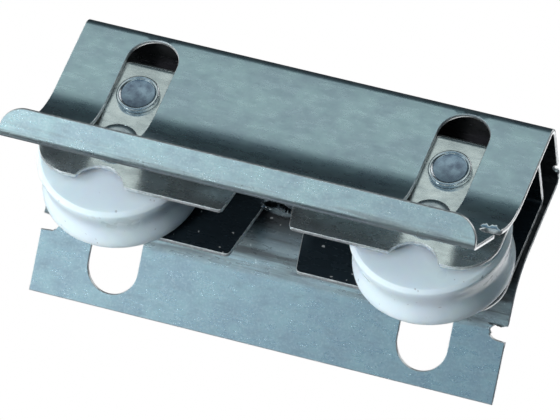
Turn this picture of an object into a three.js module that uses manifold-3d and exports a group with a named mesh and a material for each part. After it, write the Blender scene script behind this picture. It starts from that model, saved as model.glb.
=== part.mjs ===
// Sliding door roller: an outer channel that fits under the door, and inside it a sliding carriage with
// two grooved wheels in line. A screw between the wheels sets how far the carriage stands out.
// Millimetres. X runs along the rail, Y across it, Z up. The origin is the centre of the housing's top.

import * as THREE from 'three';
import { mergeVertices } from 'three/addons/utils/BufferGeometryUtils.js';
import Module from 'manifold-3d';

// ---- Driving dimensions -------------------------------------------------------------------------

const LENGTH = 60;                 // housing, end to end
const SHEET = 0.6;                 // both channels are pressed from one gauge of sheet
const HALF_LENGTH = LENGTH / 2;

const HOUSING = {
  width: 11,                       // across the outer faces of the legs
  topBend: 1.5,                    // outer radius where the web turns into a leg
  legEnd: -11.8,                   // height where a leg starts to curve outward
  flareAngle: THREE.MathUtils.degToRad(42),
  flareBend: 8.9,                  // radius of the leg's outer face in that curve
  flareLength: 12.3,               // flat stretch from the curve to the edge
  lipLength: 4,                    // turned lip along the near flare, measured outside
  lipBend: 0.9,                    // outer radius of the lip's bend
};
const SLOT = { spacing: 40, width: 6.4, top: -1.5, margin: 1.9 };
const NICK = {                     // torn corner of the blank at each end of a flare
  depth: 2.1,
  splay: 0.4,
  far: { fromEdge: 8.7, width: 1.8 },
  near: { fromEdge: 9.3, width: 2.4 },
};
const WEB_NICK = { y: 2.7, radius: 0.6 };

const CARRIAGE = {
  length: 58.8,
  width: 9.5,
  top: -4.2,
  bottom: -22.9,
  topBend: 1.2,
  cornerRadius: 5,
  archRadius: 3.3,
  archHeight: 2.3,
  notchHalfBottom: 4.3,
  notchHalfTop: 2.6,
  notchTop: -11.5,
};

const AXLE = { spacing: 40, z: -17.1, radius: 1.6, headRadius: 2.8, headHeight: 0.5 };
const WHEEL = {
  radius: 9.8,
  width: 7,
  bore: 2.5,
  edge: 0.5,                       // chamfer between each plain side and the tread
  grooveHalf: 2.8,
  grooveDepth: 0.5,
};
const SLEEVE = { inner: 1.7, outer: 2.4 };
const WASHER = { inner: 2.5, outer: 3.4, thickness: 0.45 };
const STUD = { z: -9.6, radius: 2.65, shank: 1.5, tail: 2.1, tailHeight: 0.3, dish: 2.3, dishDepth: 0.3 };
const SCREW = {
  shank: 1.9,
  headRadius: 3.95,
  headBottom: -16.8,
  headHeight: 2.2,
  headEdge: 0.3,
  slot: 1.2,                       // width of each arm of the cross recess
  slotDepth: 1.1,
};
const NUT = { size: 6.8, height: 3.2, bore: 2.2 };

const FIT = 0.1;                   // running clearance between turned pieces
const GAP = 0.05;                  // daylight between pieces that bear on each other
const ROUND = 24;                  // segments round a small turned piece
const WHEEL_ROUND = 44;
const QUARTER_TURN = Math.PI / 2;

// ---- Finishes -----------------------------------------------------------------------------------

const finish = (color, roughness, metalness) =>
  new THREE.MeshStandardMaterial({ color, roughness, metalness });
const ZINC = finish(0xb4bcc2, 0.42, 0.9);
const DARK_ZINC = finish(0x9a9b95, 0.5, 0.9);
const STEEL = finish(0xc9cbcc, 0.35, 1);
const NYLON = finish(0xf1efe8, 0.45, 0);

// ---- Solids: joining and cutting ----------------------------------------------------------------

const wasm = await Module();
wasm.setup();

/** Turns a closed three.js geometry into a solid that can be cut. */
function toSolid(geometry) {
  const bare = geometry.clone();
  bare.deleteAttribute('normal');
  bare.deleteAttribute('uv');
  const merged = mergeVertices(bare, 1e-5);
  return new wasm.Manifold(new wasm.Mesh({
    numProp: 3,
    vertProperties: new Float32Array(merged.attributes.position.array),
    triVerts: new Uint32Array(merged.index.array),
  }));
}

/** Turns a solid back into a three.js geometry. */
function toGeometry(solid) {
  const mesh = solid.getMesh();
  const geometry = new THREE.BufferGeometry();
  geometry.setAttribute('position', new THREE.BufferAttribute(mesh.vertProperties, 3));
  geometry.setIndex(new THREE.BufferAttribute(mesh.triVerts, 1));
  geometry.computeVertexNormals();
  return geometry;
}

/** Cuts every tool geometry out of the base geometry. */
function cut(base, tools) {
  return toGeometry(tools.reduce((solid, tool) => solid.subtract(toSolid(tool)), toSolid(base)));
}

/** Keeps only what two geometries share. */
function common(first, second) {
  return toGeometry(toSolid(first).intersect(toSolid(second)));
}

// ---- Shapes -------------------------------------------------------------------------------------

/** Extrudes a section drawn in the YZ plane along X, centred on X = 0. */
function alongX(shape, length) {
  const geometry = new THREE.ExtrudeGeometry(shape, { depth: length, bevelEnabled: false });
  geometry.translate(0, 0, -length / 2);
  const toYZ = new THREE.Matrix4().makeBasis(
    new THREE.Vector3(0, 1, 0), new THREE.Vector3(0, 0, 1), new THREE.Vector3(1, 0, 0));
  return geometry.applyMatrix4(toYZ);
}

/** Extrudes an outline drawn in the XZ plane along Y, from fromY to toY. */
function alongY(shape, fromY, toY) {
  const geometry = new THREE.ExtrudeGeometry(
    shape, { depth: toY - fromY, bevelEnabled: false, curveSegments: 9 });
  const toXZ = new THREE.Matrix4().makeBasis(
    new THREE.Vector3(1, 0, 0), new THREE.Vector3(0, 0, 1), new THREE.Vector3(0, -1, 0));
  return geometry.applyMatrix4(toXZ).translate(0, toY, 0);
}

/** A turned piece about the Y axis through (x, z). Each profile point is [radius, y]. */
function turned(profile, x, z, segments = ROUND) {
  const points = profile.map(([radius, y]) => new THREE.Vector2(radius, y));
  return new THREE.LatheGeometry(points, segments).translate(x, 0, z);
}

/** A plain rod about the Y axis through (x, z), from lowY to highY. */
function rod(radius, lowY, highY, x, z) {
  return turned([[0, lowY], [radius, lowY], [radius, highY], [0, highY]], x, z);
}

/** A ring about the Y axis through (x, z), from lowY to highY. */
function ring(inner, outer, lowY, highY, x, z) {
  return turned([[inner, lowY], [outer, lowY], [outer, highY], [inner, highY], [inner, lowY]], x, z);
}

/**
 * Follows half of a folded sheet from the middle of its web, through straight runs and bends.
 * Each step is { run } or { bend, radius }, the radius at mid-thickness and a positive bend turning down.
 * Gives the points at mid-thickness with the direction at each.
 */
function followSheet(steps, startZ) {
  const path = [{ y: 0, z: startZ, heading: 0 }];
  for (const step of steps) {
    const last = path.at(-1);
    if (step.run !== undefined) {
      path.push({
        y: last.y + step.run * Math.cos(last.heading),
        z: last.z - step.run * Math.sin(last.heading),
        heading: last.heading,
      });
      continue;
    }
    const turn = Math.sign(step.bend);
    const pieces = Math.max(3, Math.ceil(Math.abs(step.bend) / THREE.MathUtils.degToRad(9)));
    for (let i = 1; i <= pieces; i += 1) {
      const heading = last.heading + (step.bend * i) / pieces;
      path.push({
        y: last.y + turn * step.radius * (Math.sin(heading) - Math.sin(last.heading)),
        z: last.z + turn * step.radius * (Math.cos(heading) - Math.cos(last.heading)),
        heading,
      });
    }
  }
  return path;
}

/** The closed section of a folded sheet whose two halves leave the middle of the web. */
function sheetSection(farSteps, nearSteps, topZ) {
  const far = followSheet(farSteps, topZ - SHEET / 2);
  const near = followSheet(nearSteps, topZ - SHEET / 2).slice(1);
  const side = (path, flip, offset) => path.map(({ y, z, heading }) => new THREE.Vector2(
    flip * (y + offset * Math.sin(heading)), z + offset * Math.cos(heading)));
  const outer = [...side(far, 1, SHEET / 2).reverse(), ...side(near, -1, SHEET / 2)];
  const inner = [...side(near, -1, -SHEET / 2).reverse(), ...side(far, 1, -SHEET / 2)];
  return new THREE.Shape([...outer, ...inner]);
}

/** A slot outline about its own centre line, its round ends centred at lowZ and highZ. */
function slotOutline(width, lowZ, highZ) {
  const radius = width / 2;
  const shape = new THREE.Shape();
  shape.moveTo(-radius, lowZ);
  shape.absarc(0, lowZ, radius, Math.PI, 2 * Math.PI, false);
  shape.absarc(0, highZ, radius, 0, Math.PI, false);
  return shape;
}

// ---- Housing ------------------------------------------------------------------------------------

const LEG_FACE = HOUSING.width / 2;
const FLARE_START = {
  y: LEG_FACE + HOUSING.flareBend * (1 - Math.cos(HOUSING.flareAngle)),
  z: HOUSING.legEnd - HOUSING.flareBend * Math.sin(HOUSING.flareAngle),
};

/** A cutter in the frame of one flare, whose outline's +Z runs up the flare from its free edge. */
function throughFlare(shape, side, x) {
  const reach = 3;
  const edge = {
    y: FLARE_START.y + HOUSING.flareLength * Math.sin(HOUSING.flareAngle),
    z: FLARE_START.z - HOUSING.flareLength * Math.cos(HOUSING.flareAngle),
  };
  return alongY(shape, -reach, reach)
    .rotateX(side * HOUSING.flareAngle)
    .translate(x, side * edge.y, edge.z);
}

/** One slot: round at the top of the leg, down through the curve, and round near the flare's edge. */
function slotCutters(side, x) {
  const radius = SLOT.width / 2;
  const inner = side * (LEG_FACE - 2);
  const outer = side * (FLARE_START.y + 0.6);
  const wallPart = alongY(
    slotOutline(SLOT.width, FLARE_START.z + radius, SLOT.top - radius),
    Math.min(inner, outer), Math.max(inner, outer)).translate(x, 0, 0);
  const bottom = SLOT.margin + radius;
  const flarePart = throughFlare(slotOutline(SLOT.width, bottom, HOUSING.flareLength + 1.2), side, x);
  return [wallPart, flarePart];
}

/** A nick that enters a flare from one end of the housing: a round bottom and a mouth that opens a little. */
function nickCutters(side, end) {
  const { depth, splay } = NICK;
  const { fromEdge, width } = side > 0 ? NICK.far : NICK.near;
  const bottomX = end * (HALF_LENGTH - depth + width / 2);
  const low = fromEdge - width / 2;
  const mouth = new THREE.Shape();
  mouth.moveTo(0, low);
  mouth.lineTo(end * 2 * depth, low - splay);
  mouth.lineTo(end * 2 * depth, low + width + splay);
  mouth.lineTo(0, low + width);
  return [slotOutline(width, fromEdge, fromEdge), mouth]
    .map((outline) => throughFlare(outline, side, bottomX));
}

/** Rounds the two free corners of the turned lip. */
function lipCornerCutter(end) {
  const radius = HOUSING.lipLength - HOUSING.lipBend;
  const corner = new THREE.Shape();
  corner.moveTo(end * (HALF_LENGTH + 1), radius + 1);
  corner.lineTo(end * (HALF_LENGTH - radius), radius + 1);
  corner.lineTo(end * (HALF_LENGTH - radius), radius);
  corner.absarc(end * (HALF_LENGTH - radius), 0, radius, QUARTER_TURN, end > 0 ? 0 : Math.PI, end > 0);
  corner.lineTo(end * (HALF_LENGTH + 1), 0);
  const edge = nearCorner();
  return alongY(corner, -3, 3)
    .rotateX(QUARTER_TURN - HOUSING.flareAngle)
    .translate(0, edge.y, edge.z);
}

/** The sharp corner, seen from below, where the near flare meets its lip, at the lip's bend line. */
function nearCorner() {
  const { flareAngle, flareLength, lipBend } = HOUSING;
  const y = FLARE_START.y + flareLength * Math.sin(flareAngle) + lipBend * Math.cos(flareAngle);
  const z = FLARE_START.z - flareLength * Math.cos(flareAngle) + lipBend * Math.sin(flareAngle);
  return { y: -y, z };
}

function makeHousing() {
  const { width, topBend, legEnd, flareAngle, flareBend, flareLength, lipLength, lipBend } = HOUSING;
  const leg = [
    { run: width / 2 - topBend },
    { bend: QUARTER_TURN, radius: topBend - SHEET / 2 },
    { run: -legEnd - topBend },
    { bend: -flareAngle, radius: flareBend + SHEET / 2 },
  ];
  const lip = [
    { run: flareLength - lipBend },
    { bend: -QUARTER_TURN, radius: lipBend - SHEET / 2 },
    { run: lipLength - lipBend },
  ];
  const sheet = alongX(sheetSection([...leg, { run: flareLength }], [...leg, ...lip], 0), LENGTH);
  const cutters = [];
  for (const side of [-1, 1]) {
    for (const end of [-1, 1]) {
      cutters.push(...slotCutters(side, (end * SLOT.spacing) / 2), ...nickCutters(side, end));
    }
  }
  cutters.push(lipCornerCutter(-1), lipCornerCutter(1));
  cutters.push(new THREE.CylinderGeometry(WEB_NICK.radius, WEB_NICK.radius, 3, 20)
    .rotateX(QUARTER_TURN).translate(HALF_LENGTH, WEB_NICK.y, 0));
  return cut(sheet, cutters);
}

// ---- Carriage -----------------------------------------------------------------------------------

/** Side view of the carriage wall, with its round corners, axle arches and tapered centre notch. */
function carriageOutline() {
  const { length, top, bottom, cornerRadius, archRadius, archHeight } = CARRIAGE;
  const { notchHalfBottom, notchHalfTop, notchTop } = CARRIAGE;
  const end = length / 2;
  const archDrop = archRadius - archHeight;
  const archHalf = Math.sqrt(archRadius ** 2 - archDrop ** 2);
  const archStart = Math.atan2(archDrop, archHalf);
  const axle = AXLE.spacing / 2;
  const shape = new THREE.Shape();
  shape.moveTo(-end, top + 1);
  shape.lineTo(-end, bottom + cornerRadius);
  shape.absarc(cornerRadius - end, bottom + cornerRadius, cornerRadius, Math.PI, 1.5 * Math.PI, false);
  shape.absarc(-axle, bottom - archDrop, archRadius, Math.PI - archStart, archStart, true);
  shape.lineTo(-notchHalfBottom, bottom);
  shape.lineTo(-notchHalfTop, notchTop - notchHalfTop);
  shape.absarc(0, notchTop - notchHalfTop, notchHalfTop, Math.PI, 0, true);
  shape.lineTo(notchHalfBottom, bottom);
  shape.absarc(axle, bottom - archDrop, archRadius, Math.PI - archStart, archStart, true);
  shape.absarc(end - cornerRadius, bottom + cornerRadius, cornerRadius, 1.5 * Math.PI, 2 * Math.PI, false);
  shape.lineTo(end, top + 1);
  return shape;
}

function makeCarriage() {
  const { length, width, top, bottom, topBend } = CARRIAGE;
  const leg = [
    { run: width / 2 - topBend },
    { bend: QUARTER_TURN, radius: topBend - SHEET / 2 },
    { run: top - bottom - topBend },
  ];
  const sheet = alongX(sheetSection(leg, leg, top), length);
  const shaped = common(sheet, alongY(carriageOutline(), -width, width));
  const holes = [-1, 1].flatMap((end) => {
    const x = (end * AXLE.spacing) / 2;
    return [
      rod(AXLE.radius + FIT, -width, width, x, AXLE.z),
      rod(STUD.shank + GAP, -width, width, x, STUD.z),
    ];
  });
  const screwHole = new THREE.CylinderGeometry(NUT.bore, NUT.bore, 4, ROUND).rotateX(QUARTER_TURN);
  return cut(shaped, [...holes, screwHole.translate(0, 0, top)]);
}

/** Square nut under the carriage's web, threaded for the adjusting screw. */
function makeNut() {
  const high = CARRIAGE.top - SHEET - GAP;
  const block = new THREE.BoxGeometry(NUT.size, NUT.size, NUT.height).translate(0, 0, high - NUT.height / 2);
  const bore = new THREE.CylinderGeometry(NUT.bore, NUT.bore, NUT.height * 3, ROUND).rotateX(QUARTER_TURN);
  return cut(block, [bore.translate(0, 0, high - NUT.height / 2)]);
}

// ---- Turned and moulded pieces ------------------------------------------------------------------

/** Riveted axle: a shaft through both walls, with a flat head on each side. */
function makeAxle(x) {
  const wall = CARRIAGE.width / 2 + GAP;
  const end = wall + AXLE.headHeight;
  return turned([
    [0, -end], [AXLE.headRadius - 0.15, -end], [AXLE.headRadius, -end + 0.15], [AXLE.headRadius, -wall],
    [AXLE.radius, -wall], [AXLE.radius, wall],
    [AXLE.headRadius, wall], [AXLE.headRadius, end - 0.15], [AXLE.headRadius - 0.15, end], [0, end],
  ], x, AXLE.z);
}

/** Roller with narrow rims and a shallow round groove between them for the rail. */
function makeWheel(x) {
  const { radius, width, bore, grooveHalf, grooveDepth, edge } = WHEEL;
  const half = width / 2;
  const steps = 8;
  const tread = Array.from({ length: steps + 1 }, (_, i) => {
    const y = grooveHalf * ((2 * i) / steps - 1);
    return [radius - grooveDepth * Math.cos((y / grooveHalf) * QUARTER_TURN) ** 2, y];
  });
  const side = [[bore, half], [radius - edge, half], [radius, half - edge]];
  const near = side.map(([r, y]) => [r, -y]);
  return turned([...near, ...tread, ...side.reverse(), [bore, -half]], x, AXLE.z, WHEEL_ROUND);
}

/** Round guide stud riveted in one wall of the carriage, with a shallow dish in its face. */
function makeStud(x, side) {
  const wall = CARRIAGE.width / 2 + GAP;
  const face = LEG_FACE;
  const inside = wall - SHEET - 2 * GAP;
  const profile = [
    [0, face - STUD.dishDepth], [STUD.dish, face - STUD.dishDepth], [STUD.dish + 0.1, face],
    [STUD.radius - 0.1, face], [STUD.radius, face - 0.1], [STUD.radius, wall], [STUD.shank, wall],
    [STUD.shank, inside], [STUD.tail, inside], [STUD.tail, inside - STUD.tailHeight],
    [0, inside - STUD.tailHeight],
  ].map(([radius, y]) => [radius, side * y]);
  return turned(side > 0 ? profile.reverse() : profile, x, STUD.z);
}

/** Adjusting screw: its head hangs between the wheels and its tip bears under the housing's web. */
function makeScrew() {
  const { shank, headRadius, headBottom, headHeight, headEdge, slot, slotDepth } = SCREW;
  const headTop = headBottom + headHeight;
  const tip = -SHEET - GAP;
  const profile = [
    [0, headBottom], [headRadius - headEdge, headBottom],
    [headRadius, headBottom + headEdge], [headRadius, headTop],
    [shank, headTop], [shank, tip - 0.6], [shank - 0.6, tip], [0, tip],
  ].map(([radius, z]) => new THREE.Vector2(radius, z));
  const body = new THREE.LatheGeometry(profile, ROUND).rotateX(QUARTER_TURN);
  const arms = [0, 1].map((turn) => new THREE.BoxGeometry(slot, 1.4 * headRadius, 2 * slotDepth)
    .rotateZ(THREE.MathUtils.degToRad(45) + turn * QUARTER_TURN)
    .translate(0, 0, headBottom));
  return cut(body, arms);
}

// ---- Assembly -----------------------------------------------------------------------------------

const roller = new THREE.Group();

function add(parent, name, geometry, material) {
  const mesh = new THREE.Mesh(geometry, material);
  mesh.name = name;
  parent.add(mesh);
}

add(roller, 'housing', makeHousing(), ZINC);
add(roller, 'carriage', makeCarriage(), DARK_ZINC);
add(roller, 'clinch_nut', makeNut(), STEEL);
add(roller, 'adjusting_screw', makeScrew(), STEEL);

for (const [place, end] of [['left', -1], ['right', 1]]) {
  const x = (end * AXLE.spacing) / 2;
  const wallInside = CARRIAGE.width / 2 - SHEET;
  const washerFace = WHEEL.width / 2 + FIT;
  add(roller, `axle_${place}`, makeAxle(x), STEEL);
  add(roller, `axle_sleeve_${place}`,
    ring(SLEEVE.inner, SLEEVE.outer, -wallInside + GAP, wallInside - GAP, x, AXLE.z), STEEL);
  add(roller, `wheel_${place}`, makeWheel(x), NYLON);
  for (const [position, side] of [['near', -1], ['far', 1]]) {
    const faces = [side * washerFace, side * (washerFace + WASHER.thickness)].sort((a, b) => a - b);
    add(roller, `washer_${place}_${position}`, ring(WASHER.inner, WASHER.outer, ...faces, x, AXLE.z), STEEL);
    add(roller, `guide_stud_${place}_${position}`, makeStud(x, side), STEEL);
  }
}

export default roller;
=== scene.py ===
"""Looks of a sliding door roller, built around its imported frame.

A pressed channel, the housing, fits under the door. A smaller channel, the carriage, slides up and down
inside it on round guide studs and holds two grooved nylon wheels. A screw between the wheels sets its height.

Lengths inside the classes are millimetres, and a mesh is written in metres. X runs along the rail, Y across
it and Z up. The origin is the middle of the housing's top.
"""

import logging
import math
from abc import ABC, abstractmethod
from dataclasses import dataclass
from enum import Enum

import bmesh
import bpy
import numpy as np
from mathutils import Matrix, Vector
from mathutils.geometry import delaunay_2d_cdt


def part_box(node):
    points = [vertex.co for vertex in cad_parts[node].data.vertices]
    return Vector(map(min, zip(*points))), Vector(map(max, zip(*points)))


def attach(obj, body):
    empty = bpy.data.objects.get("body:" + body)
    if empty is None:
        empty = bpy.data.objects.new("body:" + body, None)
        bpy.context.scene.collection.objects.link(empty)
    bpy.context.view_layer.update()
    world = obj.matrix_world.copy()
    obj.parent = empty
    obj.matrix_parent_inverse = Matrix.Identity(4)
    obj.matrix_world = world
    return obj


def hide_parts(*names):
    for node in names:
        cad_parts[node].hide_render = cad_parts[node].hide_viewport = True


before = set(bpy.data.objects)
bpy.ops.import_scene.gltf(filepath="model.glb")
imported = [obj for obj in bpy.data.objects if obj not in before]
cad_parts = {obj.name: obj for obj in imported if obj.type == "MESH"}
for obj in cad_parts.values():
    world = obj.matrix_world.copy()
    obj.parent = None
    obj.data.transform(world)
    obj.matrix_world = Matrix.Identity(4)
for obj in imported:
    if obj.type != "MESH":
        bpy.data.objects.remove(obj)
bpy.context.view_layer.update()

Array = np.ndarray
Piece = bpy.types.Object
Socket = bpy.types.NodeSocket
Pair = tuple[float, float]
Triple = tuple[float, float, float]
Colour = Triple
MM = 0.001
SHORTEST_SIDE = 0.02
LOG = logging.getLogger("door_roller")


class Side(Enum):
    """The two long sides of the roller, as the sign of Y."""

    NEAR = -1
    FAR = 1


class Slot(Enum):
    """The record's material slots."""

    HOUSING = "zinc_sheet"
    CARRIAGE = "carriage_sheet"
    STEEL = "turned_steel"
    WHEEL = "nylon"


# ---- Measuring the frame


@dataclass(frozen=True)
class NodeBox:
    """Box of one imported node, in millimetres."""

    low: Array
    high: Array

    @classmethod
    def of(cls, node: str) -> "NodeBox":
        """The box of the node with this name."""
        low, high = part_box(node)
        return cls(np.array(low) / MM, np.array(high) / MM)

    @property
    def centre(self) -> Array:
        """Middle of the box."""
        return (self.low + self.high) / 2

    @property
    def size(self) -> Array:
        """Length of each side of the box."""
        return self.high - self.low


# ---- Meshes from arrays


def mesh_object(name: str, points: Array, faces: list[Array]) -> Piece:
    """Makes a smooth-shaded object from points and blocks of faces.

    Args:
        name: Name of the piece.
        points: Points in millimetres, one row each.
        faces: Blocks of point indices, each block with the same number of corners in every row.

    Returns:
        The linked object, at the origin.
    """
    mesh = bpy.data.meshes.new(name)
    rows = [row for block in faces for row in block.tolist()]
    mesh.from_pydata((points * MM).tolist(), [], rows)
    mesh.polygons.foreach_set("use_smooth", np.ones(len(rows), bool))
    mesh.update()
    piece = bpy.data.objects.new(name, mesh)
    bpy.context.scene.collection.objects.link(piece)
    return piece


def close_and_face_out(piece: Piece, crease: float = 32.0) -> None:
    """Merges doubled points, turns the faces outward, and keeps edges sharper than the crease angle crisp.

    Args:
        piece: The piece to finish.
        crease: Angle in degrees.
    """
    shell = bmesh.new()
    shell.from_mesh(piece.data)
    bmesh.ops.remove_doubles(shell, verts=shell.verts, dist=1e-7)
    bmesh.ops.dissolve_degenerate(shell, edges=shell.edges, dist=1e-8)
    bmesh.ops.recalc_face_normals(shell, faces=shell.faces)
    shell.to_mesh(piece.data)
    shell.free()
    piece.data.set_sharp_from_angle(angle=math.radians(crease))


def skin(index: Array) -> Array:
    """The faces between neighbouring rows of a grid of point indices, whose columns close into rings."""
    here, there = index[:-1], index[1:]
    return np.stack([here, np.roll(here, -1, 1), np.roll(there, -1, 1), there], axis=-1).reshape(-1, 4)


def soften(corners: Array, radii: Array, steps: int = 4, closed: bool = False) -> Array:
    """Rounds the corners of a profile with quadratic curves.

    Each corner P becomes (1-t)^2 A + 2 t (1-t) P + t^2 B, where A and B lie the corner's radius away from P
    towards its neighbours, and never past the middle of a side.

    Args:
        corners: Corners of the profile, one row each.
        radii: How far each corner's rounding reaches.
        steps: Points in each rounding, less one.
        closed: Whether the last corner joins the first.

    Returns:
        The rounded profile, without a repeated last point.
    """
    back = np.roll(corners, 1, axis=0) - corners
    ahead = np.roll(corners, -1, axis=0) - corners
    back_length = np.linalg.norm(back, axis=1)
    ahead_length = np.linalg.norm(ahead, axis=1)
    reach = np.minimum(radii, 0.5 * np.minimum(back_length, ahead_length))
    if not closed:
        reach[[0, -1]] = 0
    first = corners + back * (reach / back_length)[:, None]
    last = corners + ahead * (reach / ahead_length)[:, None]
    t = np.linspace(0, 1, steps + 1)[None, :, None]
    curve = (1 - t) ** 2 * first[:, None] + 2 * t * (1 - t) * corners[:, None] + t ** 2 * last[:, None]
    curve = curve.reshape(-1, corners.shape[1])
    step = np.linalg.norm(np.diff(curve, axis=0, prepend=curve[:1] - 1), axis=1)
    return curve[step > 1e-6]


def sweep_round(
        name: str, radius: Array, along: Array, centre: Array, axis: int, ring: bool) -> Piece:
    """Makes a turned piece from radii over a grid of profile rows and angle columns.

    A point is the centre plus radius times (sin a, cos a) in the two directions square to the axis, and along
    is its coordinate on the axis.

    Args:
        name: Name of the piece.
        radius: Radii, one row per profile point and one column per angle.
        along: Coordinates on the axis, shaped as radius.
        centre: A point on the axis.
        axis: 1 for an axis along Y, 2 for one along Z.
        ring: Whether the profile closes on itself and doesn't reach the axis.

    Returns:
        The closed piece.
    """
    rows, columns = radius.shape
    angle = np.arange(columns) * 2 * math.pi / columns
    points = np.empty((rows, columns, 3))
    other = 3 - axis
    points[..., 0] = centre[0] + radius * np.sin(angle)
    points[..., other] = centre[other] + radius * np.cos(angle)
    points[..., axis] = along
    index = np.arange(rows * columns).reshape(rows, columns)
    if ring:
        index = np.vstack([index, index[:1]])
    piece = mesh_object(name, points.reshape(-1, 3), [skin(index)])
    close_and_face_out(piece)
    return piece


def turn_profile(name: str, profile: Array, centre: Array, segments: int, ring: bool) -> Piece:
    """Turns a profile of [radius, y] rows about the Y axis through the centre."""
    radius = np.repeat(profile[:, :1], segments, axis=1)
    along = np.repeat(profile[:, 1:], segments, axis=1)
    return sweep_round(name, radius, along, centre, 1, ring)


# ---- Flat outlines


def arc(centre: Pair, radius: float, start: float, end: float, count: int = 17) -> Array:
    """Points on an arc: centre plus radius times (cos, sin) of the angles from start to end, in degrees."""
    angle = np.radians(np.linspace(start, end, count))
    return np.array(centre) + radius * np.column_stack([np.cos(angle), np.sin(angle)])


def circle(centre: Pair, radius: float, count: int = 40) -> Array:
    """A round hole's outline, clockwise."""
    return arc(centre, radius, 360, 0, count + 1)[:-1]


def stadium(x: float, low: float, high: float, radius: float) -> Array:
    """A slot's outline, clockwise, its round ends centred at low and high."""
    return np.vstack([arc((x, high), radius, 180, 0, 25), arc((x, low), radius, 0, -180, 25)])


TORN_WAVER = (0.09, 0.07)


def torn_nick(x: float, middle: float, width: float, depth: float, seed: float) -> Array:
    """A nick that enters from the +X end at x, walked in the direction of growing distance.

    Its bottom is a half circle, and its line wavers by a sum of three sines of the walked share, as a torn
    edge does.

    Args:
        x: Where the end of the sheet is.
        middle: Distance at the middle of the nick.
        width: Width of the nick.
        depth: How far it enters.
        seed: Shifts the waver, so that no two nicks are alike.

    Returns:
        Points of the nick's line.
    """
    half = width / 2
    bottom = arc((x - depth + half, middle), half, 270, 90, 15)
    line = np.vstack([[x, middle - half - 0.1], bottom, [x, middle + half + 0.1]])
    share = np.linspace(0, 1, len(line))
    waver = np.sin(23 * share + seed) + 0.7 * np.sin(41 * share + 2 * seed) + 0.5 * np.sin(67 * share + seed)
    fade = np.sin(math.pi * share)
    line[:, 0] += TORN_WAVER[0] * waver * fade
    line[:, 1] += TORN_WAVER[1] * np.cos(31 * share + seed) * fade
    return line


def mirrored(line: Array) -> Array:
    """The same line at the other end of the sheet, walked backwards so that the outline keeps its sense."""
    return (line * [-1, 1])[::-1]


def walk(loop: Array, spacing: float, stations: Array) -> Array:
    """Adds points to a closed outline: one at least every spacing, and one where it crosses each station.

    Points are found by their walked length along the outline, and each new point lies on its side in
    proportion to that length.

    Args:
        loop: Outline, one (x, distance) row each.
        spacing: Largest step wanted.
        stations: Distances that the outline must have points on.

    Returns:
        The finer outline.
    """
    ring = np.vstack([loop, loop[:1]])
    sides = np.diff(ring, axis=0)
    lengths = np.linalg.norm(sides, axis=1)
    walked = np.concatenate([[0], np.cumsum(lengths)])
    with np.errstate(divide="ignore", invalid="ignore"):
        share = (stations[None, :] - ring[:-1, 1:]) / sides[:, 1:]
    crossed = np.isfinite(share) & (share > 0) & (share < 1)
    crossings = (walked[:-1, None] + share * lengths[:, None])[crossed]
    pieces = np.maximum(1, np.ceil(lengths / spacing).astype(int))
    side = np.repeat(np.arange(len(sides)), pieces)
    step = np.arange(pieces.sum()) - np.repeat(np.cumsum(pieces) - pieces, pieces)
    even = walked[side] + step / pieces[side] * lengths[side]
    places = np.sort(np.concatenate([even, crossings]))
    places = places[np.diff(places, prepend=-1) > SHORTEST_SIDE]
    places = places[places < walked[-1] - SHORTEST_SIDE]
    return np.column_stack([np.interp(places, walked, ring[:, 0]), np.interp(places, walked, ring[:, 1])])


def inset(loop: Array, amount: float) -> Array:
    """Moves an outline to its left by the amount.

    Each point moves along the sum of its two sides' left normals over one plus their product, which keeps
    both sides parallel to where they were.
    """
    ahead = np.roll(loop, -1, axis=0) - loop
    ahead /= np.linalg.norm(ahead, axis=1)[:, None]
    normal = np.column_stack([-ahead[:, 1], ahead[:, 0]])
    before = np.roll(normal, 1, axis=0)
    spread = np.maximum(0.35, 1 + np.sum(normal * before, axis=1))
    return loop + amount * (normal + before) / spread[:, None]


def inside(points: Array, loops: list[Array]) -> Array:
    """Which points lie inside the outlines, counting the sides crossed on the way out along +X."""
    odd = np.zeros(len(points), bool)
    for loop in loops:
        start, end = loop, np.roll(loop, -1, axis=0)
        rise = end[:, 1] - start[:, 1]
        rise = np.where(rise == 0, 1e-12, rise)
        spans = (start[None, :, 1] > points[:, None, 1]) != (end[None, :, 1] > points[:, None, 1])
        share = (points[:, None, 1] - start[None, :, 1]) / rise[None]
        crossing = start[None, :, 0] + share * (end - start)[None, :, 0]
        odd ^= (np.count_nonzero(spans & (points[:, None, 0] < crossing), axis=1) % 2).astype(bool)
    return odd


# ---- Folded sheet


@dataclass(frozen=True)
class Stretch:
    """One stretch of a folded sheet at mid-thickness, straight or turning by an angle in radians."""

    length: float
    turn: float = 0.0

    @classmethod
    def bend(cls, degrees: float, radius: float) -> "Stretch":
        """A bend by an angle, positive turning down, about a radius at mid-thickness."""
        turn = math.radians(degrees)
        return cls(abs(turn) * radius, turn)


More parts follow.
